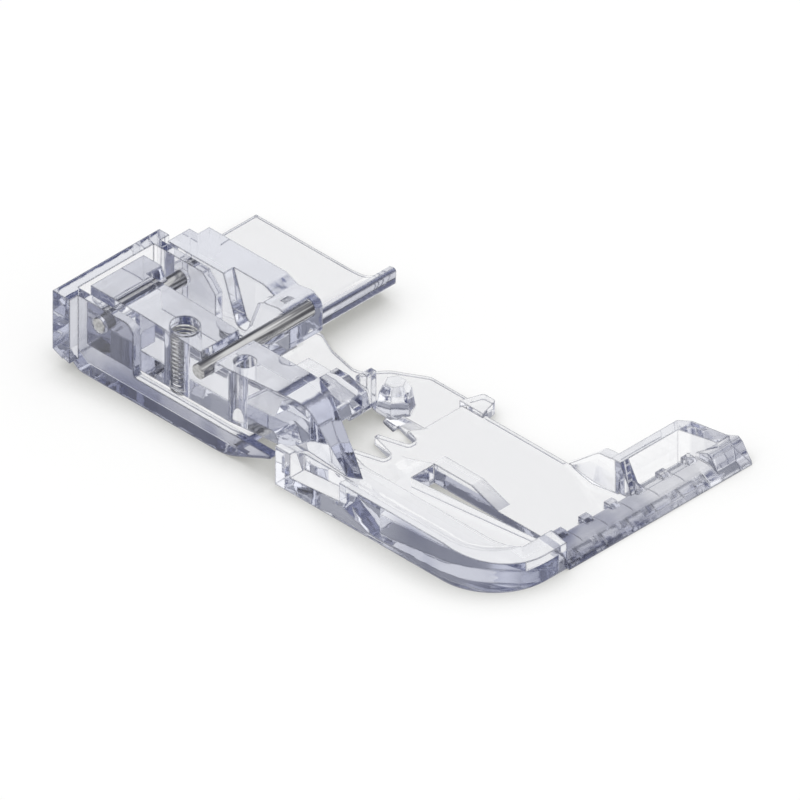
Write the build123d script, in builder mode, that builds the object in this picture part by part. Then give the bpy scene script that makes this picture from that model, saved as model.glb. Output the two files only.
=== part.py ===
"""Clear clip-on sewing machine presser foot with a sprung rear shoe.

Millimetres. x runs to the front of the foot, y to its far side and z up, with
the origin on the sole plane under the middle of the foot. Two clear mouldings
are joined by a steel hinge pin; a coil spring in the near rail presses the
shoe down, and a second steel pin across the rails takes the machine's shank.
"""
import math
import os

from build123d import *

os.makedirs("parts", exist_ok=True)

# Where the drawing's datum lies from the middle of the foot
MID_X = 25.82
MID_Y = 16.58

# Clearances
PIN_FIT = 0.04
SIDE_GAP = 0.3
END_GAP = 0.3
SPRING_GAP = 0.05

# Rails of the foot
RAIL_TOP = 8.15
RAIL_REAR = 1.85
NEAR_RAIL_Y = 2.93
NEAR_RAIL_W = 4.78
ANKLE_GAP = 4.89
FAR_RAIL_W = 4.13
NEAR_RAIL_STEP = 0.49
FAR_RAIL_FRONT = 17.17
FAR_RAIL_NOTCH_W = 1.3
FAR_NOTCH_LOW = 3.26
TAIL_W = 1.85
TAIL_X = 5.87

# Steel pins
SHANK_D = 1.5
SHANK_X = 16.58
SHANK_Z = 6.76
SHANK_REACH = 3.15
SHANK_STICK_OUT = 1.3
HINGE_D = 1.5
HINGE_X = 4.66
HINGE_Z = 6.13

# Spring and its bore in the near rail, and the plain bore ahead of it
BORE_X = 11.89
BORE_Y = 4.73
BORE_D = 2.93
BORE_LIP = 0.25
BORE_LIP_W = 0.12
WIRE_D = 0.36
SPRING_TURNS = 9
PLAIN_X = 19.3
PLAIN_Y = 4.85
PLAIN_D = 2.07

# Rear shoe
SHOE_Y = 1.09
SHOE_WALL = 0.87
SHOE_FLOOR = 0.87
SHOE_RIM = 2.72
SHOE_WALL_X = 9.02
SHOE_FLOOR_X = 21.3
SHOE_TOE_X = 26.2
SHOE_HEEL_Z = 1.9
FLANGE_T = 1.25
FLANGE_EAR = 1.09
FLANGE_EAR_T = 2.12
SHOE_LIFT = 3.0

# Front sole
SOLE_REAR = 26.85
SOLE_STEP_X = 30.98
SOLE_FRONT = 54.35
SOLE_NEAR_Y = 1.09
SOLE_FAR_Y = 20.87
SOLE_T = 0.87
SOLE_MID_T = 2.07
RIM_TOP = 4.13
RIM_W = 0.65
RIM_CORNER = 6.52
WINDOW_REAR = 28.7
WINDOW_FRONT = 34.89
WINDOW_SILL = 1.58
WINDOW_DEPTH = 1.85

# Needle opening, with one slot for each needle
NEEDLE_REAR = 24.67
NEEDLE_FRONT = 28.59
NEEDLE_FAR_Y = 15.76
NEEDLE_Y = 10.27
NEEDLE_PITCH = 3.15
NEEDLE_MOUTH = 1.41
NEEDLE_TIP_R = 0.49
NEEDLE_SLOT_L = 3.26
NEEDLES = 3

# Guide slot and fin
SLOT_Y = 8.26
SLOT_W = 2.93
SLOT_REAR = 36.74
SLOT_FRONT = 51.52
SLOT_TAPER = 2.28
FIN_W = 1.52
FIN_FLAT = 4.57
FIN_RAMP = 3.37

# Lip, fence and wing
LIP_REAR = 51.52
LIP_FRONT = 54.67
LIP_NEAR_Y = 10.22
LIP_LENGTH = 22.93
LIP_TOP = 1.59
MARK_PITCH = 3.21
MARK_FIRST_Y = 13
MARK_W = 0.24
MARK_DEPTH = 0.22
TOOTH_W = 0.98
MARKS = 6
FENCE_T = 1.09
FENCE_FOOT = 0.76
FENCE_TOP = 4.13
FENCE_REAR = 43.26
FENCE_RAMP = 4.35
FENCE_X = 49.24
FENCE_Y = 28.48
SPLAY_X = 52.93
SPLAY_Y = 31.63
SPLAY_TOP = 2.28
BASE_T = 0.65
WING_T = 0.6
WING_REAR = -3.04
WING_FRONT = 14.46
WING_FAR_Y = 28.59
WING_RISE = 1.74
WING_LIP_TOP = 3.59
POST_X = 26.74
POST_Y = 16.3
POST_TOP = 3.48

# Places that follow from the sizes above
LIP_FAR_Y = LIP_NEAR_Y + LIP_LENGTH
CORNER_X = SOLE_FRONT - RIM_CORNER
CORNER_Y = SOLE_NEAR_Y + RIM_CORNER
DISH_R = RIM_CORNER - RIM_W
NEAR_RAIL_IN = NEAR_RAIL_Y + NEAR_RAIL_W
FAR_RAIL_IN = NEAR_RAIL_IN + ANKLE_GAP
FAR_RAIL_OUT = FAR_RAIL_IN + FAR_RAIL_W
SHOE_IN = SHOE_Y + SHOE_WALL
SHOE_FAR = FAR_RAIL_IN - SIDE_GAP
SHOE_FAR_IN = SHOE_FAR - SHOE_WALL
SHOE_REACH = SHOE_FLOOR_X - HINGE_X
SHOE_RISE = SHOE_REACH * math.sin(math.radians(SHOE_LIFT))
RAIL_LOW = SHOE_FLOOR + SHOE_RISE + END_GAP
SHANK_END = FAR_RAIL_IN + SHANK_REACH
PIN_HOLE = SHANK_D / 2 + PIN_FIT
HINGE_HOLE = HINGE_D / 2 + PIN_FIT
SPRING_R = BORE_D / 2 - PIN_FIT - WIRE_D / 2 - 0.06
SPRING_BASE = SHOE_FLOOR + SPRING_GAP
SPRING_TOP = RAIL_TOP - NEAR_RAIL_STEP - BORE_LIP - SPRING_GAP


def plan(z):
    """A level plane at height z, drawn in x and y from the datum."""
    return Plane(origin=(-MID_X, -MID_Y, z))


def side(y):
    """An upright plane at y, drawn in x and z, extruded to the near side."""
    return Plane(origin=(-MID_X, y - MID_Y, 0), x_dir=(1, 0, 0), z_dir=(0, -1, 0))


def across(x):
    """An upright plane at x, drawn in y and z, extruded to the front."""
    return Plane(origin=(x - MID_X, -MID_Y, 0), x_dir=(0, 1, 0), z_dir=(1, 0, 0))


def outline(*points):
    """Fill a closed outline. A third number at a point rounds that corner."""
    with BuildSketch(mode=Mode.PRIVATE) as face:
        with BuildLine():
            Polyline(*[(p[0], p[1]) for p in points], close=True)
        make_face()
        for p in points:
            if len(p) == 3:
                corner = face.vertices().sort_by_distance((p[0], p[1]))[0]
                fillet(corner, radius=p[2])
    add(face.sketch)


def dish_section(start, sign):
    """The hollow side of the rim, measured inward from the rim along one axis."""
    with BuildLine() as edge:
        Spline(
            (start, RIM_TOP),
            (start + sign * DISH_R * 0.3, RIM_TOP - (RIM_TOP - SOLE_MID_T) * 0.55),
            (start + sign * DISH_R, SOLE_MID_T),
        )
        Line((start + sign * DISH_R, SOLE_MID_T), (start + sign * DISH_R, RIM_TOP + 1))
        Line((start + sign * DISH_R, RIM_TOP + 1), (start, RIM_TOP + 1))
        Line((start, RIM_TOP + 1), (start, RIM_TOP))
    make_face(edge.edges())


# The near rail, which runs on as a rib down to the rim
with BuildPart() as near_rail:
    with BuildSketch(side(NEAR_RAIL_IN)):
        outline(
            (RAIL_REAR, RAIL_LOW),
            (RAIL_REAR, RAIL_TOP),
            (8.04, RAIL_TOP),
            (SHANK_X - 0.98, RAIL_TOP - 0.33),
            (SHANK_X + 0.87, RAIL_TOP - NEAR_RAIL_STEP),
            (27.83, RAIL_TOP - NEAR_RAIL_STEP, 3.7),
            (33.15, 3.59, 4.35),
            (35.43, SOLE_T + 0.87, 1.52),
            (36.09, SOLE_T),
            (36.09, 0),
            (SOLE_REAR, 0),
            (SOLE_REAR - 0.87, RAIL_LOW),
        )
    extrude(amount=NEAR_RAIL_W)
    # Seen from above, the rib sweeps over to the near side
    with BuildSketch(plan(0)):
        outline(
            (25.87, NEAR_RAIL_IN + 1),
            (25.87, NEAR_RAIL_IN),
            (32.61, NEAR_RAIL_Y + 2.39, 6.52),
            (36.2, NEAR_RAIL_Y + 0.87),
            (36.2, NEAR_RAIL_IN + 1),
        )
    extrude(amount=RAIL_TOP, mode=Mode.SUBTRACT)
    # Its near face leans in ahead of the shank pin
    with BuildSketch(plan(0)):
        outline(
            (19.02, NEAR_RAIL_Y - 1),
            (19.02, NEAR_RAIL_Y),
            (28.48, NEAR_RAIL_Y + 0.98, 4.35),
            (36.2, NEAR_RAIL_Y),
            (36.2, NEAR_RAIL_Y - 1),
        )
    extrude(amount=RAIL_TOP, mode=Mode.SUBTRACT)


# Main moulding: the front sole first, so that its cuts reach nothing else
with BuildPart() as foot_body:
    with BuildSketch(plan(0)):
        outline(
            (SOLE_REAR, SOLE_NEAR_Y),
            (SOLE_FRONT, SOLE_NEAR_Y, RIM_CORNER),
            (SOLE_FRONT, LIP_NEAR_Y),
            (LIP_REAR, LIP_NEAR_Y),
            (LIP_REAR, SOLE_FAR_Y),
            (SOLE_STEP_X, SOLE_FAR_Y),
            (SOLE_STEP_X, NEEDLE_FAR_Y),
            (SOLE_REAR, NEEDLE_FAR_Y),
        )
    extrude(amount=RIM_TOP)
    # The rim falls away over the toe
    with BuildSketch(side(SOLE_FAR_Y + 1)):
        outline(
            (SOLE_FRONT - RIM_CORNER, RIM_TOP),
            (SOLE_FRONT + 1, RIM_TOP - 1.52),
            (SOLE_FRONT + 1, RIM_TOP + 1),
            (SOLE_FRONT - RIM_CORNER, RIM_TOP + 1),
        )
    extrude(amount=SOLE_FAR_Y - SOLE_NEAR_Y + 2, mode=Mode.SUBTRACT)
    # The dish inside the rim: along the near side, round the corner, and across the front
    with BuildSketch(across(SOLE_REAR - 1)):
        dish_section(SOLE_NEAR_Y + RIM_W, 1)
    extrude(amount=CORNER_X - SOLE_REAR + 1, mode=Mode.SUBTRACT)
    with BuildSketch(side(CORNER_Y)):
        dish_section(SOLE_FRONT - RIM_W, -1)
    corner_axis = Axis((CORNER_X - MID_X, CORNER_Y - MID_Y, 0), (0, 0, 1))
    revolve(axis=corner_axis, revolution_arc=-90, mode=Mode.SUBTRACT)
    with BuildSketch(side(SOLE_FAR_Y + 1)):
        dish_section(SOLE_FRONT - RIM_W, -1)
    extrude(amount=SOLE_FAR_Y + 1 - CORNER_Y, mode=Mode.SUBTRACT)
    # The floor of the dish, which falls to the plate at both ends
    with BuildSketch(side(SOLE_FAR_Y + 1)):
        outline(
            (SOLE_REAR - 1, SOLE_T),
            (32.83, SOLE_T, 2.17),
            (SLOT_REAR - 0.22, SOLE_MID_T, 2.17),
            (CORNER_X - 3.26, SOLE_MID_T - 0.54, 3.26),
            (LIP_REAR + 0.87, SOLE_T + 0.22),
            (LIP_REAR + 0.87, RIM_TOP + 1),
            (SOLE_REAR - 1, RIM_TOP + 1),
        )
    extrude(amount=SOLE_FAR_Y + 1 - CORNER_Y + 1.09, mode=Mode.SUBTRACT)
    # The thin plate beyond the slot
    with BuildSketch(plan(SOLE_T)):
        outline(
            (SOLE_REAR - 1, SLOT_Y + SLOT_W),
            (LIP_REAR + 1, SLOT_Y + SLOT_W),
            (LIP_REAR + 1, SOLE_FAR_Y + 1),
            (SOLE_REAR - 1, SOLE_FAR_Y + 1),
        )
    extrude(amount=RIM_TOP, mode=Mode.SUBTRACT)
    # The window in the near rim, whose sill rises to the front
    with BuildSketch(side(SOLE_NEAR_Y + WINDOW_DEPTH)):
        outline(
            (WINDOW_REAR, WINDOW_SILL),
            (WINDOW_FRONT, WINDOW_SILL + 0.54),
            (WINDOW_FRONT, RIM_TOP + 1),
            (WINDOW_REAR, RIM_TOP + 1),
        )
    extrude(amount=WINDOW_DEPTH + 1, mode=Mode.SUBTRACT)

    # The far base, from the wing to the front sole
    with BuildSketch(plan(0)):
        outline(
            (RAIL_REAR, FAR_RAIL_IN),
            (RAIL_REAR, FAR_RAIL_OUT),
            (14.02, 19.78, 1.09),
            (16.52, 18.59, 1.3),
            (20.43, 17.72, 1.74),
            (22.39, 20, 1.3),
            (25.65, 21.85, 1.3),
            (SOLE_STEP_X, 21.85),
            (SOLE_STEP_X, NEEDLE_FAR_Y - 0.43),
            (NEEDLE_REAR, NEEDLE_FAR_Y - 0.43),
            (NEEDLE_REAR, FAR_RAIL_IN),
        )
    extrude(amount=BASE_T)
    # The side tab
    with BuildSketch(plan(0)):
        outline(
            (SOLE_STEP_X - 0.33, SOLE_FAR_Y - 0.43),
            (SOLE_STEP_X + 0.43, SOLE_FAR_Y + 1.85, 0.43),
            (SOLE_STEP_X + 1.96, SOLE_FAR_Y + 1.85, 0.43),
            (SOLE_STEP_X + 2.61, SOLE_FAR_Y - 0.43),
        )
    extrude(amount=SOLE_T + 0.43)

    # The needle opening: the hole, its leaning far wall, and a notch for each needle
    with BuildSketch(plan(-1)):
        outline(
            (NEEDLE_REAR, NEAR_RAIL_IN + 0.22),
            (27.39, 8.7, 2.17),
            (NEEDLE_FRONT + 0.2, 7.93),
            (NEEDLE_FRONT + 0.2, 13.7),
            (27.17, 14.13),
            (NEEDLE_REAR, NEEDLE_FAR_Y - 0.65),
        )
    extrude(amount=SOLE_MID_T + 1, mode=Mode.SUBTRACT)
    with BuildSketch(plan(0)):
        outline(
            (NEEDLE_REAR, 15.43),
            (27.17, 14.46),
            (29.57, 13.91),
            (28.48, 12.83),
            (NEEDLE_REAR, 12.83),
        )
    with BuildSketch(plan(SOLE_T + 0.11)):
        outline(
            (NEEDLE_REAR, NEEDLE_FAR_Y + 0.43),
            (27.17, NEEDLE_FAR_Y + 0.43),
            (31.52, NEEDLE_FAR_Y + 0.38),
            (29.35, 12.83),
            (NEEDLE_REAR, 12.83),
        )
    loft(ruled=True, mode=Mode.SUBTRACT)
    for i in range(NEEDLES):
        y = NEEDLE_Y + (i - (NEEDLES - 1) / 2) * NEEDLE_PITCH
        with BuildSketch(plan(-1)):
            outline(
                (NEEDLE_FRONT, y - NEEDLE_MOUTH),
                (NEEDLE_FRONT + NEEDLE_SLOT_L, y - NEEDLE_TIP_R, NEEDLE_TIP_R * 0.9),
                (NEEDLE_FRONT + NEEDLE_SLOT_L, y + NEEDLE_TIP_R, NEEDLE_TIP_R * 0.9),
                (NEEDLE_FRONT, y + NEEDLE_MOUTH),
            )
        extrude(amount=RIM_TOP, mode=Mode.SUBTRACT)

    # The wing, a thin plate whose front edge curls up
    with BuildSketch(side(WING_FAR_Y)):
        outline(
            (WING_REAR, 0),
            (11.3, 0, 4.35),
            (WING_FRONT, WING_RISE, 0.54),
            (WING_FRONT + 0.11, WING_LIP_TOP, 0.33),
            (WING_FRONT - 0.76, WING_LIP_TOP - 0.22),
            (11.3, WING_T + 0.22, 3.91),
            (8.7, WING_T),
            (WING_REAR, WING_T),
        )
    extrude(amount=WING_FAR_Y - FAR_RAIL_OUT + 0.11)

    # The near rail joins the sole here
    add(near_rail.part)

    # The tail that holds the hinge pin between the shoe's walls
    with BuildSketch(side(NEAR_RAIL_IN + TAIL_W)):
        outline(
            (RAIL_REAR, RAIL_LOW),
            (RAIL_REAR, RAIL_TOP),
            (TAIL_X - 1.74, RAIL_TOP, 0.33),
            (TAIL_X - 1.2, RAIL_TOP - 1.09, 0.43),
            (TAIL_X, HINGE_Z, 0.65),
            (TAIL_X, RAIL_LOW),
        )
    extrude(amount=TAIL_W + 0.22)

    # The floor between the rails and the bar that closes the ankle gap
    with BuildSketch(side(FAR_RAIL_IN)):
        outline(
            (18.04, RAIL_LOW),
            (18.04, RAIL_LOW + 0.76),
            (22.17, RAIL_LOW + 0.76, 0.65),
            (23.04, 5),
            (24.57, 5, 0.22),
            (26.85, 4.35, 0.22),
            (27.28, 3.04, 0.22),
            (26.09, RAIL_LOW),
        )
    extrude(amount=ANKLE_GAP + 0.22)
    with BuildSketch(side(FAR_RAIL_IN + 1.52)):
        outline(
            (18.04, 0),
            (18.04, RAIL_LOW + 0.76),
            (22.17, RAIL_LOW + 0.76, 1.09),
            (23.04, 3.26, 0.43),
            (25.65, 3.26, 0.33),
            (NEEDLE_REAR, 0),
        )
    extrude(amount=1.52)
    # The upright rib at the bar's far end
    with BuildSketch(side(FAR_RAIL_IN + 2.61)):
        outline(
            (NEEDLE_REAR - 0.65, 0),
            (NEEDLE_REAR - 0.65, 3.91, 0.33),
            (NEEDLE_REAR + 0.11, 4.57, 0.22),
            (NEEDLE_REAR + 0.76, 4.57, 0.22),
            (NEEDLE_REAR + 0.76, SOLE_T),
            (NEEDLE_REAR, 0),
        )
    extrude(amount=1.2)

    # The far rail: outer half whole, inner half notched, front knuckle arched
    with BuildSketch(side(FAR_RAIL_OUT)):
        outline(
            (RAIL_REAR, 0),
            (RAIL_REAR, RAIL_TOP),
            (12.61, RAIL_TOP, 1.3),
            (14.13, RAIL_TOP - 0.65, 0.87),
            (15.82, RAIL_TOP - 0.33, 1.09),
            (FAR_RAIL_FRONT, RAIL_TOP - 0.98, 0.87),
            (FAR_RAIL_FRONT, 3.8, 0.43),
            (14.78, 3.8, 1.09),
            (13.7, 0),
        )
    extrude(amount=FAR_RAIL_W)
    with BuildSketch(side(FAR_RAIL_IN + FAR_RAIL_NOTCH_W)):
        outline(
            (8.48, RAIL_TOP + 1),
            (8.91, RAIL_TOP - 0.22),
            (10, FAR_NOTCH_LOW + 1.52, 2.17),
            (10.54, FAR_NOTCH_LOW, 0.65),
            (11.74, FAR_NOTCH_LOW, 0.65),
            (13.15, RAIL_TOP - 1.09, 0.43),
            (13.91, RAIL_TOP - 0.65),
            (13.91, RAIL_TOP + 1),
        )
    extrude(amount=FAR_RAIL_NOTCH_W + 1, mode=Mode.SUBTRACT)
    with BuildSketch(plan(BASE_T)):
        outline(
            (RAIL_REAR - 1, 15.33),
            (2.93, 15.33),
            (2.93, FAR_RAIL_OUT + 1),
            (RAIL_REAR - 1, FAR_RAIL_OUT + 1),
        )
    extrude(amount=RAIL_TOP, mode=Mode.SUBTRACT)

    # The guide slot, and the fin on its far edge
    with BuildSketch(plan(-1)):
        outline(
            (SLOT_REAR, SLOT_Y),
            (SLOT_FRONT, SLOT_Y + SLOT_TAPER, 0.11),
            (SLOT_FRONT, SLOT_Y + SLOT_W),
            (SLOT_REAR, SLOT_Y + SLOT_W),
        )
    extrude(amount=RIM_TOP, mode=Mode.SUBTRACT)
    with BuildSketch(side(SLOT_Y + SLOT_W + FIN_W)):
        outline(
            (SLOT_REAR - 0.33, 0),
            (SLOT_REAR - 0.33, SOLE_MID_T, 0.22),
            (SLOT_REAR + FIN_FLAT, SOLE_MID_T, 0.65),
            (SLOT_REAR + FIN_FLAT + FIN_RAMP, SOLE_T),
            (SLOT_REAR + FIN_FLAT + FIN_RAMP, 0),
        )
    extrude(amount=FIN_W)

    # The lip, with a row of marks across it and a tooth behind each
    with BuildSketch(side(LIP_FAR_Y)):
        outline(
            (LIP_REAR, 0),
            (LIP_REAR, LIP_TOP - 0.33, 0.11),
            (LIP_REAR + 1.52, LIP_TOP - 0.22, 1.52),
            (LIP_REAR + 2.39, LIP_TOP - 0.54, 1.52),
            (LIP_FRONT - 0.11, 0.43, 0.43),
            (LIP_FRONT, 0),
        )
    extrude(amount=LIP_LENGTH)
    with BuildSketch(across(LIP_REAR - 1)):
        for i in range(MARKS):
            y = MARK_FIRST_Y + i * MARK_PITCH
            outline(
                (y - MARK_W, LIP_TOP + 1),
                (y, LIP_TOP - 0.22 - MARK_DEPTH),
                (y + MARK_W, LIP_TOP + 1),
            )
    extrude(amount=LIP_FRONT - LIP_REAR + 2, mode=Mode.SUBTRACT)
    for i in range(MARKS):
        y = MARK_FIRST_Y + i * MARK_PITCH
        with BuildSketch(side(y - MARK_W)):
            outline(
                (LIP_REAR - 0.54, SOLE_T - 0.22),
                (LIP_REAR - 0.54, LIP_TOP),
                (LIP_REAR + 0.11, LIP_TOP),
                (LIP_REAR + 0.98, LIP_TOP - 0.43),
                (LIP_REAR + 0.98, SOLE_T - 0.22),
            )
        extrude(amount=TOOTH_W)

    # The fence: a ramped wall, its cross run, and the splayed end
    with BuildSketch(side(SOLE_FAR_Y + FENCE_T)):
        outline(
            (FENCE_REAR, 0),
            (FENCE_REAR, 0.33),
            (FENCE_REAR + FENCE_RAMP, FENCE_TOP - 0.22, 1.3),
            (FENCE_X + FENCE_T, FENCE_TOP),
            (LIP_REAR + 0.22, LIP_TOP),
            (LIP_REAR + 0.22, 0),
        )
    extrude(amount=FENCE_T)
    with BuildSketch(across(FENCE_REAR + 1.09)):
        outline(
            (SOLE_FAR_Y - 0.22, SOLE_T - 0.11),
            (SOLE_FAR_Y + 0.11, SOLE_T + 0.11),
            (SOLE_FAR_Y + 0.11, SOLE_T - 0.11),
        )
    with BuildSketch(across(FENCE_REAR + FENCE_RAMP)):
        outline(
            (SOLE_FAR_Y - FENCE_FOOT, SOLE_T - 0.11),
            (SOLE_FAR_Y + 0.11, FENCE_TOP - 0.54),
            (SOLE_FAR_Y + 0.11, SOLE_T - 0.11),
        )
    with BuildSketch(across(FENCE_X + FENCE_T)):
        outline(
            (SOLE_FAR_Y - 0.22, SOLE_T - 0.11),
            (SOLE_FAR_Y + 0.11, FENCE_TOP - 0.33),
            (SOLE_FAR_Y + 0.11, SOLE_T - 0.11),
        )
    loft(ruled=True)
    with BuildSketch(across(FENCE_X)):
        outline(
            (SOLE_FAR_Y, 0),
            (SOLE_FAR_Y, FENCE_TOP),
            (FENCE_Y, FENCE_TOP),
            (FENCE_Y, 0),
        )
    extrude(amount=FENCE_T)
    with BuildSketch(plan(0)):
        outline(
            (FENCE_X, FENCE_Y - 0.33),
            (FENCE_X + FENCE_T, FENCE_Y - 0.33),
            (SPLAY_X, SPLAY_Y - FENCE_T),
            (SPLAY_X, SPLAY_Y + 0.43),
            (FENCE_X, FENCE_Y + 0.65, 0.33),
        )
    extrude(amount=FENCE_TOP)
    with BuildSketch(side(LIP_FAR_Y)):
        outline(
            (LIP_REAR - 0.22, 0),
            (LIP_REAR - 0.22, LIP_TOP, 0.22),
            (SPLAY_X, SPLAY_TOP, 0.22),
            (SPLAY_X + 0.54, SPLAY_TOP - 0.33, 0.22),
            (LIP_FRONT - 0.33, 0.65),
            (LIP_FRONT - 0.33, 0),
        )
    extrude(amount=3.91)
    with BuildSketch(side(LIP_FAR_Y)):
        outline(
            (FENCE_X + FENCE_T, FENCE_TOP),
            (SPLAY_X + 1, SPLAY_TOP),
            (SPLAY_X + 1, FENCE_TOP + 1),
            (FENCE_X + FENCE_T, FENCE_TOP + 1),
        )
    extrude(amount=LIP_FAR_Y - SOLE_FAR_Y - FENCE_T, mode=Mode.SUBTRACT)

    # The faceted guide post at the corner of the needle opening
    with BuildSketch(plan(BASE_T - 0.11)):
        with Locations((POST_X, POST_Y)):
            RegularPolygon(radius=1.85, side_count=6)
    with BuildSketch(plan(POST_TOP - 0.87)):
        with Locations((POST_X, POST_Y)):
            RegularPolygon(radius=1.52, side_count=6)
    with BuildSketch(plan(POST_TOP)):
        with Locations((POST_X, POST_Y)):
            RegularPolygon(radius=0.98, side_count=6)
    loft(ruled=True)

    # Holes for the pins, the groove's open mouth, and the two upright bores
    with BuildSketch(side(SHANK_END)):
        with Locations((SHANK_X, SHANK_Z)):
            Circle(PIN_HOLE)
    extrude(amount=SHANK_END - NEAR_RAIL_Y + 1, mode=Mode.SUBTRACT)
    with BuildSketch(side(NEAR_RAIL_IN + 0.05)):
        outline(
            (SHANK_X - PIN_HOLE, SHANK_Z),
            (SHANK_X - PIN_HOLE, RAIL_TOP - 0.76),
            (SHANK_X - 1.09, RAIL_TOP),
            (SHANK_X + 1.09, RAIL_TOP),
            (SHANK_X + PIN_HOLE, RAIL_TOP - 0.98),
            (SHANK_X + PIN_HOLE, SHANK_Z),
        )
    extrude(amount=NEAR_RAIL_W + 1, mode=Mode.SUBTRACT)
    with BuildSketch(side(NEAR_RAIL_IN + TAIL_W + 1)):
        with Locations((HINGE_X, HINGE_Z)):
            Circle(HINGE_HOLE)
    extrude(amount=NEAR_RAIL_W + TAIL_W + 2, mode=Mode.SUBTRACT)
    with BuildSketch(plan(0)):
        with Locations((BORE_X, BORE_Y)):
            Circle(BORE_D / 2)
    extrude(amount=SPRING_TOP + SPRING_GAP, mode=Mode.SUBTRACT)
    with BuildSketch(plan(SPRING_TOP)):
        with Locations((BORE_X, BORE_Y)):
            Circle(BORE_D / 2 - BORE_LIP_W)
    extrude(amount=RAIL_TOP, mode=Mode.SUBTRACT)
    with BuildSketch(plan(0)):
        with Locations((PLAIN_X, PLAIN_Y)):
            Circle(PLAIN_D / 2)
    extrude(amount=RAIL_TOP, mode=Mode.SUBTRACT)

foot_body.part.label = "foot_body"
export_step(foot_body.part, "parts/foot_body.step")


# Rear shoe: flange, two hinge walls, floor, and a near runner with a raised toe
with BuildPart() as rear_shoe:
    with BuildSketch(side(SHOE_FAR)):
        outline(
            (0, SHOE_HEEL_Z),
            (0, RAIL_TOP),
            (SHOE_WALL_X, RAIL_TOP, 1.09),
            (SHOE_WALL_X, SHOE_RIM, 0.43),
            (SHOE_TOE_X, SHOE_RIM, 0.22),
            (SHOE_TOE_X, SHOE_RIM - 0.33),
            (20.65, 0, 6.52),
            (2.17, 0, 1.52),
        )
    extrude(amount=SHOE_FAR - SHOE_Y)
    # The trough that the rails hang in
    with BuildSketch(across(FLANGE_T)):
        outline(
            (SHOE_IN, SHOE_FLOOR, 0.33),
            (SHOE_FAR_IN, SHOE_FLOOR, 0.33),
            (SHOE_FAR_IN, RAIL_TOP + 1),
            (SHOE_IN, RAIL_TOP + 1),
        )
    extrude(amount=SHOE_TOE_X, mode=Mode.SUBTRACT)
    # The heel of the trough, level with the raised heel of the sole
    with BuildSketch(side(SHOE_FAR_IN)):
        outline(
            (FLANGE_T - 0.11, SHOE_FLOOR - 0.11),
            (FLANGE_T - 0.11, SHOE_HEEL_Z + 0.43),
            (3.26, SHOE_FLOOR - 0.11),
        )
    extrude(amount=SHOE_FAR_IN - SHOE_IN)
    # The far wall sweeps down behind the ankle gap
    with BuildSketch(side(SHOE_FAR + 1)):
        outline(
            (7.39, RAIL_TOP + 1),
            (7.39, RAIL_TOP),
            (9.13, 6.3, 2.17),
            (11.3, SHOE_RIM, 1.74),
            (15.22, SHOE_RIM, 1.09),
            (17.17, SHOE_FLOOR),
            (SHOE_TOE_X + 1, SHOE_FLOOR),
            (SHOE_TOE_X + 1, RAIL_TOP + 1),
        )
    extrude(amount=SHOE_WALL + 1.1, mode=Mode.SUBTRACT)
    # Only the near runner goes on past the floor
    with BuildSketch(plan(-1)):
        outline(
            (SHOE_FLOOR_X, SHOE_IN + 0.65, 0.65),
            (SHOE_TOE_X + 1, SHOE_IN + 0.65),
            (SHOE_TOE_X + 1, SHOE_FAR + 1),
            (SHOE_FLOOR_X, SHOE_FAR + 1),
        )
    extrude(amount=RAIL_TOP, mode=Mode.SUBTRACT)
    # The flange stands out past both walls
    with BuildSketch(side(SHOE_FAR + FLANGE_EAR)):
        outline((0, SHOE_HEEL_Z), (0, RAIL_TOP), (FLANGE_T, RAIL_TOP), (FLANGE_T, SHOE_HEEL_Z - 0.54))
    extrude(amount=SHOE_FAR + FLANGE_EAR)
    with BuildSketch(side(SHOE_Y)):
        outline((0, SHOE_HEEL_Z), (0, RAIL_TOP), (FLANGE_EAR_T, RAIL_TOP), (FLANGE_EAR_T, SHOE_HEEL_Z - 0.65))
    extrude(amount=FLANGE_EAR)
    # The hinge holes
    with BuildSketch(side(SHOE_FAR + 1)):
        with Locations((HINGE_X, HINGE_Z)):
            Circle(HINGE_HOLE)
    extrude(amount=SHOE_FAR - SHOE_Y + 2, mode=Mode.SUBTRACT)

rear_shoe.part.label = "rear_shoe"
export_step(rear_shoe.part, "parts/rear_shoe.step")


# Shank pin, from just outside the near rail's face into the far knuckle
with BuildPart() as shank_pin:
    with BuildSketch(side(SHANK_END - PIN_FIT)):
        with Locations((SHANK_X, SHANK_Z)):
            Circle(SHANK_D / 2)
    extrude(amount=SHANK_END - PIN_FIT - NEAR_RAIL_Y + SHANK_STICK_OUT)
    chamfer(shank_pin.edges().filter_by(GeomType.CIRCLE), length=0.1)

shank_pin.part.label = "shank_pin"
export_step(shank_pin.part, "parts/shank_pin.step")


# Hinge pin, flush with the shoe's two walls
with BuildPart() as hinge_pin:
    with BuildSketch(side(SHOE_FAR)):
        with Locations((HINGE_X, HINGE_Z)):
            Circle(HINGE_D / 2)
    extrude(amount=SHOE_FAR - SHOE_Y)
    chamfer(hinge_pin.edges().filter_by(GeomType.CIRCLE), length=0.1)

hinge_pin.part.label = "hinge_pin"
export_step(hinge_pin.part, "parts/hinge_pin.step")


# Coil spring, standing on the shoe's floor inside the rail's bore
SPRING_H = SPRING_TOP - SPRING_BASE - WIRE_D
with BuildPart() as shoe_spring:
    foot_of_coil = (BORE_X - MID_X, BORE_Y - MID_Y, SPRING_BASE + WIRE_D / 2)
    with BuildLine() as coil:
        Helix(SPRING_H / SPRING_TURNS, SPRING_H, SPRING_R, center=foot_of_coil)
    with BuildSketch(Plane(origin=coil.line @ 0, z_dir=coil.line % 0)):
        RegularPolygon(radius=WIRE_D / 2, side_count=8)
    sweep(path=coil.line, is_frenet=True)

shoe_spring.part.label = "shoe_spring"
export_step(shoe_spring.part, "parts/shoe_spring.step")
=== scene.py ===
import math

import bmesh
import bpy
from mathutils import Matrix, Vector


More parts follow.
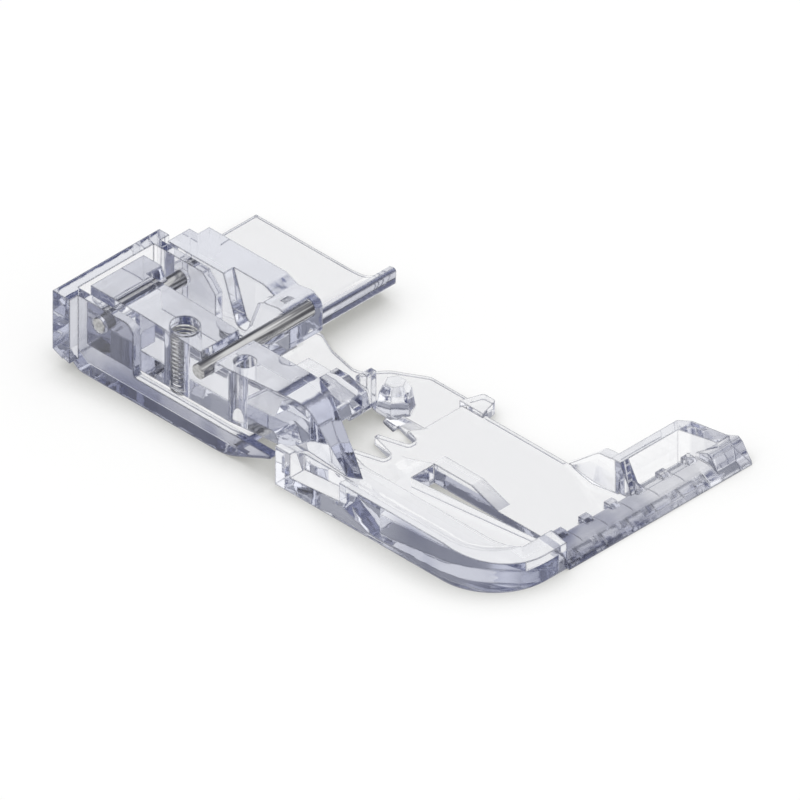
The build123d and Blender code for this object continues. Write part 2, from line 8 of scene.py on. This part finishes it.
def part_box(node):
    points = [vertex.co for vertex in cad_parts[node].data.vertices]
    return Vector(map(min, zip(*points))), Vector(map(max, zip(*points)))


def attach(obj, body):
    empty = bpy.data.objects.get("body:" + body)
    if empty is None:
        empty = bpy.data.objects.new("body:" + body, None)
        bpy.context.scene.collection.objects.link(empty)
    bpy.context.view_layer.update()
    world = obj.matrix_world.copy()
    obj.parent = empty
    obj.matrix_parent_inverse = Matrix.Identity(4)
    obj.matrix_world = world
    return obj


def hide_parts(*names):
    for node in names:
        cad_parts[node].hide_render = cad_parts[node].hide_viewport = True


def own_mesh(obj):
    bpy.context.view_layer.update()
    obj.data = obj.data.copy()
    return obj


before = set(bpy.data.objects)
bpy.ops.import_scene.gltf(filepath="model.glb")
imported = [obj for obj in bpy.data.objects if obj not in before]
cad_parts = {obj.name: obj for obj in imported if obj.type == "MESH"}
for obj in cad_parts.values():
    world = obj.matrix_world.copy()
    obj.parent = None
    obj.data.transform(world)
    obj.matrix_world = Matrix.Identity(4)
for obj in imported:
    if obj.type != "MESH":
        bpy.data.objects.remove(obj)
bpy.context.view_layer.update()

# Lengths are in metres. X runs to the front, Y to the far side and Z up. A pair is (from, to).

WHITE = (1.0, 1.0, 1.0, 1.0)

# The paths inside the plastic are long, and light on them fades from white to slate between two depths.
BOUNCES = 32
FADE_DEPTHS = (4.0, 13.0)
DEEP_SLATE = (0.225, 0.237, 0.345, 1.0)


# ---- node helpers

def new_material(name):
    mat = bpy.data.materials.new(name)
    mat.use_nodes = True
    mat.node_tree.nodes.clear()
    return mat, mat.node_tree


def feed(tree, value, socket):
    """Links a socket to an input, or sets the input to a number or colour."""
    if isinstance(value, bpy.types.NodeSocket):
        tree.links.new(value, socket)
    else:
        socket.default_value = value


def add(tree, kind, **values):
    """A node, with its inputs fed by name."""
    node = tree.nodes.new(kind)
    for key, value in values.items():
        feed(tree, value, node.inputs[key.replace("_", " ")])
    return node


def maths(tree, operation, first, second=0.0, clamp=False):
    node = tree.nodes.new("ShaderNodeMath")
    node.operation = operation
    node.use_clamp = clamp
    feed(tree, first, node.inputs[0])
    feed(tree, second, node.inputs[1])
    return node.outputs[0]


def product(tree, first, *others):
    for other in others:
        first = maths(tree, "MULTIPLY", first, other)
    return first


def dot(tree, first, second):
    node = tree.nodes.new("ShaderNodeVectorMath")
    node.operation = "DOT_PRODUCT"
    feed(tree, first, node.inputs[0])
    feed(tree, second, node.inputs[1])
    return node.outputs["Value"]


def axes(tree, vector):
    return add(tree, "ShaderNodeSeparateXYZ", Vector=vector).outputs


def noise(tree, vector, scale, detail):
    return add(tree, "ShaderNodeTexNoise", Vector=vector, Scale=scale, Detail=detail).outputs["Fac"]


def stretched(tree, coords, scale):
    return add(tree, "ShaderNodeMapping", Vector=coords, Scale=scale).outputs["Vector"]


def spread(tree, source, values, span=(0.0, 1.0), smooth=False):
    """Maps the span to the values."""
    node = add(tree, "ShaderNodeMapRange", Value=source, From_Min=span[0], From_Max=span[1],
               To_Min=values[0], To_Max=values[1])
    if smooth:
        node.interpolation_type = "SMOOTHSTEP"
    return node.outputs["Result"]


def rising(tree, source, span, smooth=True):
    return spread(tree, source, (0.0, 1.0), span, smooth)


def falling(tree, source, span, smooth=True):
    return spread(tree, source, (1.0, 0.0), span, smooth)


def above(tree, source, limit):
    return maths(tree, "GREATER_THAN", source, limit)


def between(tree, source, span):
    """1 inside the span, 0 outside it."""
    return product(tree, above(tree, source, span[0]), maths(tree, "LESS_THAN", source, span[1]))


def blend(tree, factor, first, second, kind="MIX"):
    """Mixes two colours, each a socket or a colour."""
    node = tree.nodes.new("ShaderNodeMix")
    node.data_type = "RGBA"
    node.blend_type = kind
    feed(tree, factor, node.inputs["Factor"])
    feed(tree, first, node.inputs[6])
    feed(tree, second, node.inputs[7])
    return node.outputs[2]


def ramp(tree, factor, *stops):
    """A colour ramp with two stops, each a place and its colour."""
    node = add(tree, "ShaderNodeValToRGB", Fac=factor)
    for element, (place, colour) in zip(node.color_ramp.elements, stops):
        element.position = place
        element.color = colour
    return node.outputs["Color"]


def mix_shaders(tree, factor, first, second):
    node = tree.nodes.new("ShaderNodeMixShader")
    for value, socket in zip((factor, first, second), node.inputs):
        feed(tree, value, socket)
    return node.outputs["Shader"]


def through(tree, path):
    """White, fading to slate for light that has turned many times inside the plastic."""
    depth = maths(tree, "DIVIDE", path["Ray Depth"], float(BOUNCES))
    return ramp(tree, depth, (FADE_DEPTHS[0] / BOUNCES, WHITE), (FADE_DEPTHS[1] / BOUNCES, DEEP_SLATE))


# ---- clear plastic

TINT = (0.72, 0.75, 0.86, 1.0)
TINT_DENSITY = 55.0
PLASTIC_IOR = 1.5
# painted slate shade for faces that the light leaves dark, with streaks in its strength
PAINTED_SLATE_SHADE = (0.22, 0.235, 0.34, 1.0)
PAINTED_SHADE_STREAKS = (0.62, 1.0)

# |normal z| of walls and of level faces
WALL_TO_LEVEL = (0.35, 0.8)

# rounded arrises, with a painted dark shade line where the rounded normal leaves the plain one (the cosine
# between them)
ARRIS_RADIUS = 0.00024
ARRIS_SAMPLES = 4
EDGE_SHADE_COLOUR = (0.06, 0.064, 0.09, 1.0)
EDGE_SHADE_STRENGTH = 0.95
EDGE_SHADE_COSINES = (0.78, 0.97)

# noise that streaks the painted slate shade
CLOUD_STRETCH = (1.0, 1.0, 0.5)
CLOUD_SCALE = 170.0
CLOUD_LEVELS = (0.35, 0.6)
POLISH_SCALE = 2400.0
POLISH = (0.0, 0.03)
WAVE_SCALE = 260.0
WAVE_STRENGTH = 0.2
WAVE_HEIGHT = 0.0002

# the undercut below the knuckle, which shows through the knuckle's top
UNDERCUT_X = (-0.0140, -0.0120)
UNDERCUT_Y = (-0.0003, 0.0012)
UNDERCUT_TOP = 0.00142
UNDERCUT_ROUGHNESS = 0.5


def clear_plastic(name, painted_shade_places):
    """Clear moulded plastic: rounded arrises with painted dark edge lines, faint moulding waves, a fine
    polish, a tint that deepens with thickness, and painted slate shade in some places."""
    mat, tree = new_material(name)
    coords = tree.nodes.new("ShaderNodeTexCoord").outputs["Object"]
    x, y, z = axes(tree, coords)
    geometry = tree.nodes.new("ShaderNodeNewGeometry").outputs
    facing = axes(tree, geometry["True Normal"])
    wall = falling(tree, maths(tree, "ABSOLUTE", facing["Z"]), WALL_TO_LEVEL)

    # the undercut is matt and has no painted dark edge lines
    undercut = product(tree, between(tree, x, UNDERCUT_X), between(tree, y, UNDERCUT_Y),
                       maths(tree, "LESS_THAN", z, UNDERCUT_TOP))

    arris = add(tree, "ShaderNodeBevel", Radius=ARRIS_RADIUS)
    arris.samples = ARRIS_SAMPLES
    rounded = arris.outputs["Normal"]
    # painted dark shade line along the arrises
    edge_shade = spread(tree, dot(tree, rounded, geometry["Normal"]), (EDGE_SHADE_STRENGTH, 0.0), EDGE_SHADE_COSINES)
    edge_shade = product(tree, edge_shade, maths(tree, "SUBTRACT", 1.0, undercut))

    # painted slate shade in the given places, streaked by noise, under painted dark lines at the arrises
    cloud = noise(tree, stretched(tree, coords, CLOUD_STRETCH), CLOUD_SCALE, 2.0)
    streak = spread(tree, cloud, PAINTED_SHADE_STREAKS, CLOUD_LEVELS, True)
    painted_shade = maths(tree, "MULTIPLY", painted_shade_places(tree, x, y, z, wall, facing["X"]), streak, clamp=True)
    colour = blend(tree, edge_shade, blend(tree, painted_shade, WHITE, PAINTED_SLATE_SHADE), EDGE_SHADE_COLOUR)

    polish = spread(tree, noise(tree, coords, POLISH_SCALE, 4.0), POLISH)
    roughness = maths(tree, "MAXIMUM", polish, product(tree, undercut, UNDERCUT_ROUGHNESS))
    waves = add(tree, "ShaderNodeBump", Strength=WAVE_STRENGTH, Distance=WAVE_HEIGHT,
                Height=noise(tree, coords, WAVE_SCALE, 2.0), Normal=rounded)
    shell = add(tree, "ShaderNodeBsdfPrincipled", IOR=PLASTIC_IOR, Transmission_Weight=1.0,
                Base_Color=colour, Roughness=roughness, Normal=waves.outputs["Normal"])
    inside = add(tree, "ShaderNodeVolumeAbsorption", Color=TINT, Density=TINT_DENSITY)
    add(tree, "ShaderNodeOutputMaterial", Surface=shell.outputs["BSDF"], Volume=inside.outputs["Volume"])
    return mat


# places of the body with painted slate shade
RIM_Z = (0.0036, 0.0048)
RIM_Y = (-0.0142, -0.0128)
RIM_X = (0.0135, 0.0180)
LIP_X = (0.0252, 0.0255)
LIP_Y = (-0.001, 0.009)
LIP_FAR_SHARE = 0.4
LIP_BLOCK_Y = -0.0065
FIN_X = (0.0152, 0.0190)
FIN_Y = (-0.00545, -0.0038)
FIN_FADE_X = (0.0160, 0.0189)
FIN_SHARES = (0.15, 0.9)
ARM_X = (0.0009, 0.0088)
ARM_Y = (-0.0135, -0.0088)
ARM_BOTTOM = 0.0024
RAMP_FACING = 0.2
RAMP_SHARE = 0.9
WING_X = (-0.0116, -0.0110)
WING_Y = (0.0040, 0.0045)
SOLE_EDGE_Y = (0.0040, 0.0046)
SOLE_EDGE_X = (0.002, 0.017)


def body_painted_shade(tree, x, y, z, wall, ahead):
    """Painted slate shade on the near wall of the front sole, the lip without its near block, the ramps of
    the fin and the near arm, and the thin edges of the wing and the sole's far side."""
    rim = product(tree, falling(tree, z, RIM_Z), falling(tree, y, RIM_Y), rising(tree, x, RIM_X), wall)
    lip = product(tree, rising(tree, x, LIP_X), spread(tree, y, (1.0, LIP_FAR_SHARE), LIP_Y, True),
                  above(tree, y, LIP_BLOCK_Y))
    fin = product(tree, between(tree, x, FIN_X), between(tree, y, FIN_Y),
                  spread(tree, x, FIN_SHARES, FIN_FADE_X))
    arm = product(tree, between(tree, x, ARM_X), between(tree, y, ARM_Y), above(tree, z, ARM_BOTTOM))
    ramps = product(tree, maths(tree, "ADD", fin, arm), above(tree, ahead, RAMP_FACING), RAMP_SHARE)
    wing = product(tree, falling(tree, x, WING_X, False), rising(tree, y, WING_Y, False))
    sole = product(tree, between(tree, y, SOLE_EDGE_Y), between(tree, x, SOLE_EDGE_X))
    thin = product(tree, maths(tree, "MAXIMUM", wing, sole), wall)
    return maths(tree, "ADD", maths(tree, "ADD", rim, lip), maths(tree, "ADD", ramps, thin))


# place of the shoe with painted slate shade
SHOE_Z = (0.0016, 0.0030)
SHOE_HIGH_SHARE = 0.85
SHOE_Y = (-0.0145, -0.0143)
SHOE_X = (-0.0255, -0.0190)
SHOE_HEEL_SHARE = 0.5


def shoe_painted_shade(tree, x, y, z, wall, ahead):
    """Painted slate shade on the shoe's outer near wall, most of all ahead of its heel."""
    low = spread(tree, z, (1.0, SHOE_HIGH_SHARE), SHOE_Z, True)
    front = spread(tree, x, (SHOE_HEEL_SHARE, 1.0), SHOE_X, True)
    return product(tree, low, falling(tree, y, SHOE_Y), wall, front)


# ---- steel

MARK_SCALE = 900.0
DRAWN_SCALE = 2600.0
DRAWN_LEVELS = (0.40, 0.62)
DRAWN_HEIGHT = 0.00002
DRAWN_STRENGTH = 0.15
STAIN_SCALE = 380.0
STAIN_LEVELS = (0.3, 0.7)
STAIN_SHARES = (0.7, 1.0)

# |normal y| of a pin's side and of its cut end, which has fewer streaks
SIDE_TO_END = (0.5, 0.9)
END_SHARE = 0.35


def steel(name, bright, dark, roughness, around, along):
    """Drawn steel: light and dark streaks along it, partly drawing marks and partly painted reflection, fine
    marks round it, and a little staining.
    """
    mat, tree = new_material(name)
    coords = tree.nodes.new("ShaderNodeTexCoord").outputs["Object"]
    marks = noise(tree, stretched(tree, coords, around), MARK_SCALE, 4.0)
    drawn = noise(tree, stretched(tree, coords, along), DRAWN_SCALE, 3.0)
    stain = noise(tree, coords, STAIN_SCALE, 3.0)
    facing = axes(tree, tree.nodes.new("ShaderNodeNewGeometry").outputs["True Normal"])
    side = spread(tree, maths(tree, "ABSOLUTE", facing["Y"]), (1.0, END_SHARE), SIDE_TO_END)
    streak = product(tree, rising(tree, drawn, DRAWN_LEVELS),
                     spread(tree, stain, STAIN_SHARES, STAIN_LEVELS), side)
    relief = add(tree, "ShaderNodeBump", Strength=DRAWN_STRENGTH, Distance=DRAWN_HEIGHT, Height=drawn)
    metal = add(tree, "ShaderNodeBsdfPrincipled", Metallic=1.0,
                Base_Color=blend(tree, streak, bright, dark),
                Roughness=spread(tree, marks, roughness), Normal=relief.outputs["Normal"])
    add(tree, "ShaderNodeOutputMaterial", Surface=metal.outputs["BSDF"])
    return mat


# the pins' dark streak colour is partly drawing marks and partly painted dark reflection
PIN_BRIGHT = (0.50, 0.50, 0.50, 1.0)
PIN_PAINTED_DARK_REFLECTION = (0.08, 0.08, 0.09, 1.0)
PIN_ROUGHNESS = (0.10, 0.28)
PIN_AROUND = (0.2, 1.0, 0.2)
PIN_ALONG = (1.0, 0.03, 1.0)
WIRE_BRIGHT = (0.72, 0.72, 0.71, 1.0)
WIRE_DARK = (0.34, 0.34, 0.33, 1.0)
WIRE_ROUGHNESS = (0.12, 0.30)
UNSTRETCHED = (1.0, 1.0, 1.0)


def paint(node, mat):
    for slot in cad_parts[node].material_slots:
        slot.material = mat


paint("foot_body", clear_plastic("clear_body", body_painted_shade))
paint("rear_shoe", clear_plastic("clear_shoe", shoe_painted_shade))
for pin, finish in (("shank_pin", "pin_ground"), ("hinge_pin", "hinge_ground")):
    paint(pin, steel(finish, PIN_BRIGHT, PIN_PAINTED_DARK_REFLECTION, PIN_ROUGHNESS, PIN_AROUND, PIN_ALONG))
SPRING_STEEL = steel("spring_wire", WIRE_BRIGHT, WIRE_DARK, WIRE_ROUGHNESS, UNSTRETCHED, UNSTRETCHED)


# ---- the shoe's spring, as round wire with closed end turns

WIRE = 0.00026
TURNS = 15
STEPS = 30
SIDES = 10


def coil(name, middle, low, high, radius):
    """A tube along an upright helix. Its first and last turns rise by one wire each."""
    pitch = (high - low - 3.0 * WIRE) / (TURNS - 2)
    verts = []
    for i in range(TURNS * STEPS + 1):
        turn = i / STEPS
        first = min(turn, 1.0)
        open_turns = min(max(turn - 1.0, 0.0), TURNS - 2.0)
        last = max(turn - TURNS + 1.0, 0.0)
        rise = WIRE * first + pitch * open_turns + WIRE * last
        angle = 2.0 * math.pi * turn
        outward = Vector((math.cos(angle), math.sin(angle), 0.0))
        centre = Vector((middle[0], middle[1], low + WIRE / 2.0 + rise)) + outward * radius
        for j in range(SIDES):
            a = 2.0 * math.pi * j / SIDES
            upward = Vector((0.0, 0.0, math.sin(a) * WIRE / 2.0))
            verts.append(tuple(centre + outward * (math.cos(a) * WIRE / 2.0) + upward))
    faces = []
    for start in range(0, TURNS * STEPS * SIDES, SIDES):
        for j in range(SIDES):
            k = (j + 1) % SIDES
            faces.append((start + j, start + k, start + SIDES + k, start + SIDES + j))
    last_ring = TURNS * STEPS * SIDES
    faces.append(tuple(reversed(range(SIDES))))
    faces.append(tuple(range(last_ring, last_ring + SIDES)))
    mesh = bpy.data.meshes.new(name)
    mesh.from_pydata(verts, [], faces)
    bm = bmesh.new()
    bm.from_mesh(mesh)
    bmesh.ops.recalc_face_normals(bm, faces=bm.faces)
    bm.to_mesh(mesh)
    bm.free()
    for poly in mesh.polygons:
        poly.use_smooth = len(poly.vertices) == 4
    piece = bpy.data.objects.new(name, mesh)
    bpy.context.scene.collection.objects.link(piece)
    return piece


low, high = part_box("shoe_spring")
spring = coil("coil_spring", ((low[0] + high[0]) / 2.0, (low[1] + high[1]) / 2.0), low[2], high[2],
              (high[0] - low[0] - WIRE) / 2.0)
spring.data.materials.append(SPRING_STEEL)
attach(spring, "foot")
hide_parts("shoe_spring")
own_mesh(spring)


# ---- floor: pale paper with a soft shadow. It glows to the camera and, where seen through the plastic, fades
# with depth.

FLOOR_SIZE = 2.0
FLOOR_Z = -0.00002
PAPER = (0.97, 0.97, 0.955, 1.0)
SHADOW = (0.36, 0.36, 0.335, 1.0)
SHADOW_DISTANCE = 0.0045
SHADOW_SAMPLES = 8
SHADOW_SHARES = (0.32, 0.92)
CAMERA_SHARE = 0.7
PLASTIC_SHARE = 0.88


def floor_paper():
    mat, tree = new_material("floor_paper")
    path = tree.nodes.new("ShaderNodeLightPath").outputs
    close = add(tree, "ShaderNodeAmbientOcclusion", Distance=SHADOW_DISTANCE)
    close.samples = SHADOW_SAMPLES
    shade = spread(tree, close.outputs["AO"], (0.0, 1.0), SHADOW_SHARES)
    paper = add(tree, "ShaderNodeBsdfDiffuse", Color=PAPER)
    lit = add(tree, "ShaderNodeEmission", Color=blend(tree, shade, SHADOW, WHITE))
    ground = mix_shaders(tree, product(tree, path["Is Camera Ray"], CAMERA_SHARE),
                         paper.outputs["BSDF"], lit.outputs["Emission"])
    glow = add(tree, "ShaderNodeEmission", Color=through(tree, path))
    seen = maths(tree, "MAXIMUM", path["Is Transmission Ray"], path["Is Glossy Ray"])
    surface = mix_shaders(tree, product(tree, seen, PLASTIC_SHARE), ground, glow.outputs["Emission"])
    add(tree, "ShaderNodeOutputMaterial", Surface=surface)
    return mat


bpy.ops.mesh.primitive_plane_add(size=FLOOR_SIZE, location=(0, 0, FLOOR_Z))
floor = bpy.context.object
floor.name = "floor"
floor.data.materials.append(floor_paper())


# ---- world: a bright ceiling that dims towards the horizon, and a darker wall beyond the object

HORIZON = (0.50, 0.50, 0.53, 1.0)
CEILING = (1.32, 1.32, 1.32, 1.0)
CEILING_HEIGHT = 0.75
FAR_WALL = (0.30, 0.31, 0.36, 1.0)
FAR_WALL_SIDES = (0.25, 0.75)
FAR_WALL_TOP = (0.62, 0.85)

# the way the photo's camera looks, over the ground
AWAY = (-0.7071, 0.7071, 0.0)


def light_room():
    world = bpy.data.worlds.new("soft_room")
    world.use_nodes = True
    tree = world.node_tree
    tree.nodes.clear()
    direction = tree.nodes.new("ShaderNodeTexCoord").outputs["Generated"]
    height = axes(tree, direction)["Z"]
    sky = ramp(tree, height, (0.0, HORIZON), (CEILING_HEIGHT, CEILING))
    wall = product(tree, rising(tree, dot(tree, direction, AWAY), FAR_WALL_SIDES),
                   falling(tree, height, FAR_WALL_TOP))
    path = tree.nodes.new("ShaderNodeLightPath").outputs
    room = blend(tree, 1.0, blend(tree, wall, sky, FAR_WALL), through(tree, path), "MULTIPLY")
    # plain white where the camera sees past the floor, as in low views
    shown = blend(tree, path["Is Camera Ray"], room, WHITE)
    back = add(tree, "ShaderNodeBackground", Strength=1.0, Color=shown)
    add(tree, "ShaderNodeOutputWorld", Surface=back.outputs["Background"])
    bpy.context.scene.world = world


light_room()


# ---- camera: the photo's isometric view from above the near front

ELEVATION = math.asin(1 / math.sqrt(3))
AIM = Vector((-0.000266, 0.001474, 0.0))
VIEW_WIDTH = 0.0710
CAMERA_DISTANCE = 0.3
CLIP = (0.001, 5.0)


def place_camera():
    level = math.cos(ELEVATION) / math.sqrt(2)
    forward = Vector((-level, level, -math.sin(ELEVATION)))
    right = Vector((1, 1, 0)).normalized()
    up = right.cross(forward)
    data = bpy.data.cameras.new("camera")
    data.type = "ORTHO"
    data.ortho_scale = VIEW_WIDTH
    data.clip_start, data.clip_end = CLIP
    camera = bpy.data.objects.new("camera", data)
    bpy.context.scene.collection.objects.link(camera)
    turned = Matrix((right, up, -forward)).transposed().to_4x4()
    camera.matrix_world = Matrix.Translation(AIM - forward * CAMERA_DISTANCE) @ turned
    bpy.context.scene.camera = camera


place_camera()

bpy.context.scene.view_settings.view_transform = "Standard"
bpy.context.scene.cycles.max_bounces = BOUNCES
bpy.context.scene.cycles.transmission_bounces = BOUNCES
bpy.context.scene.cycles.glossy_bounces = BOUNCES
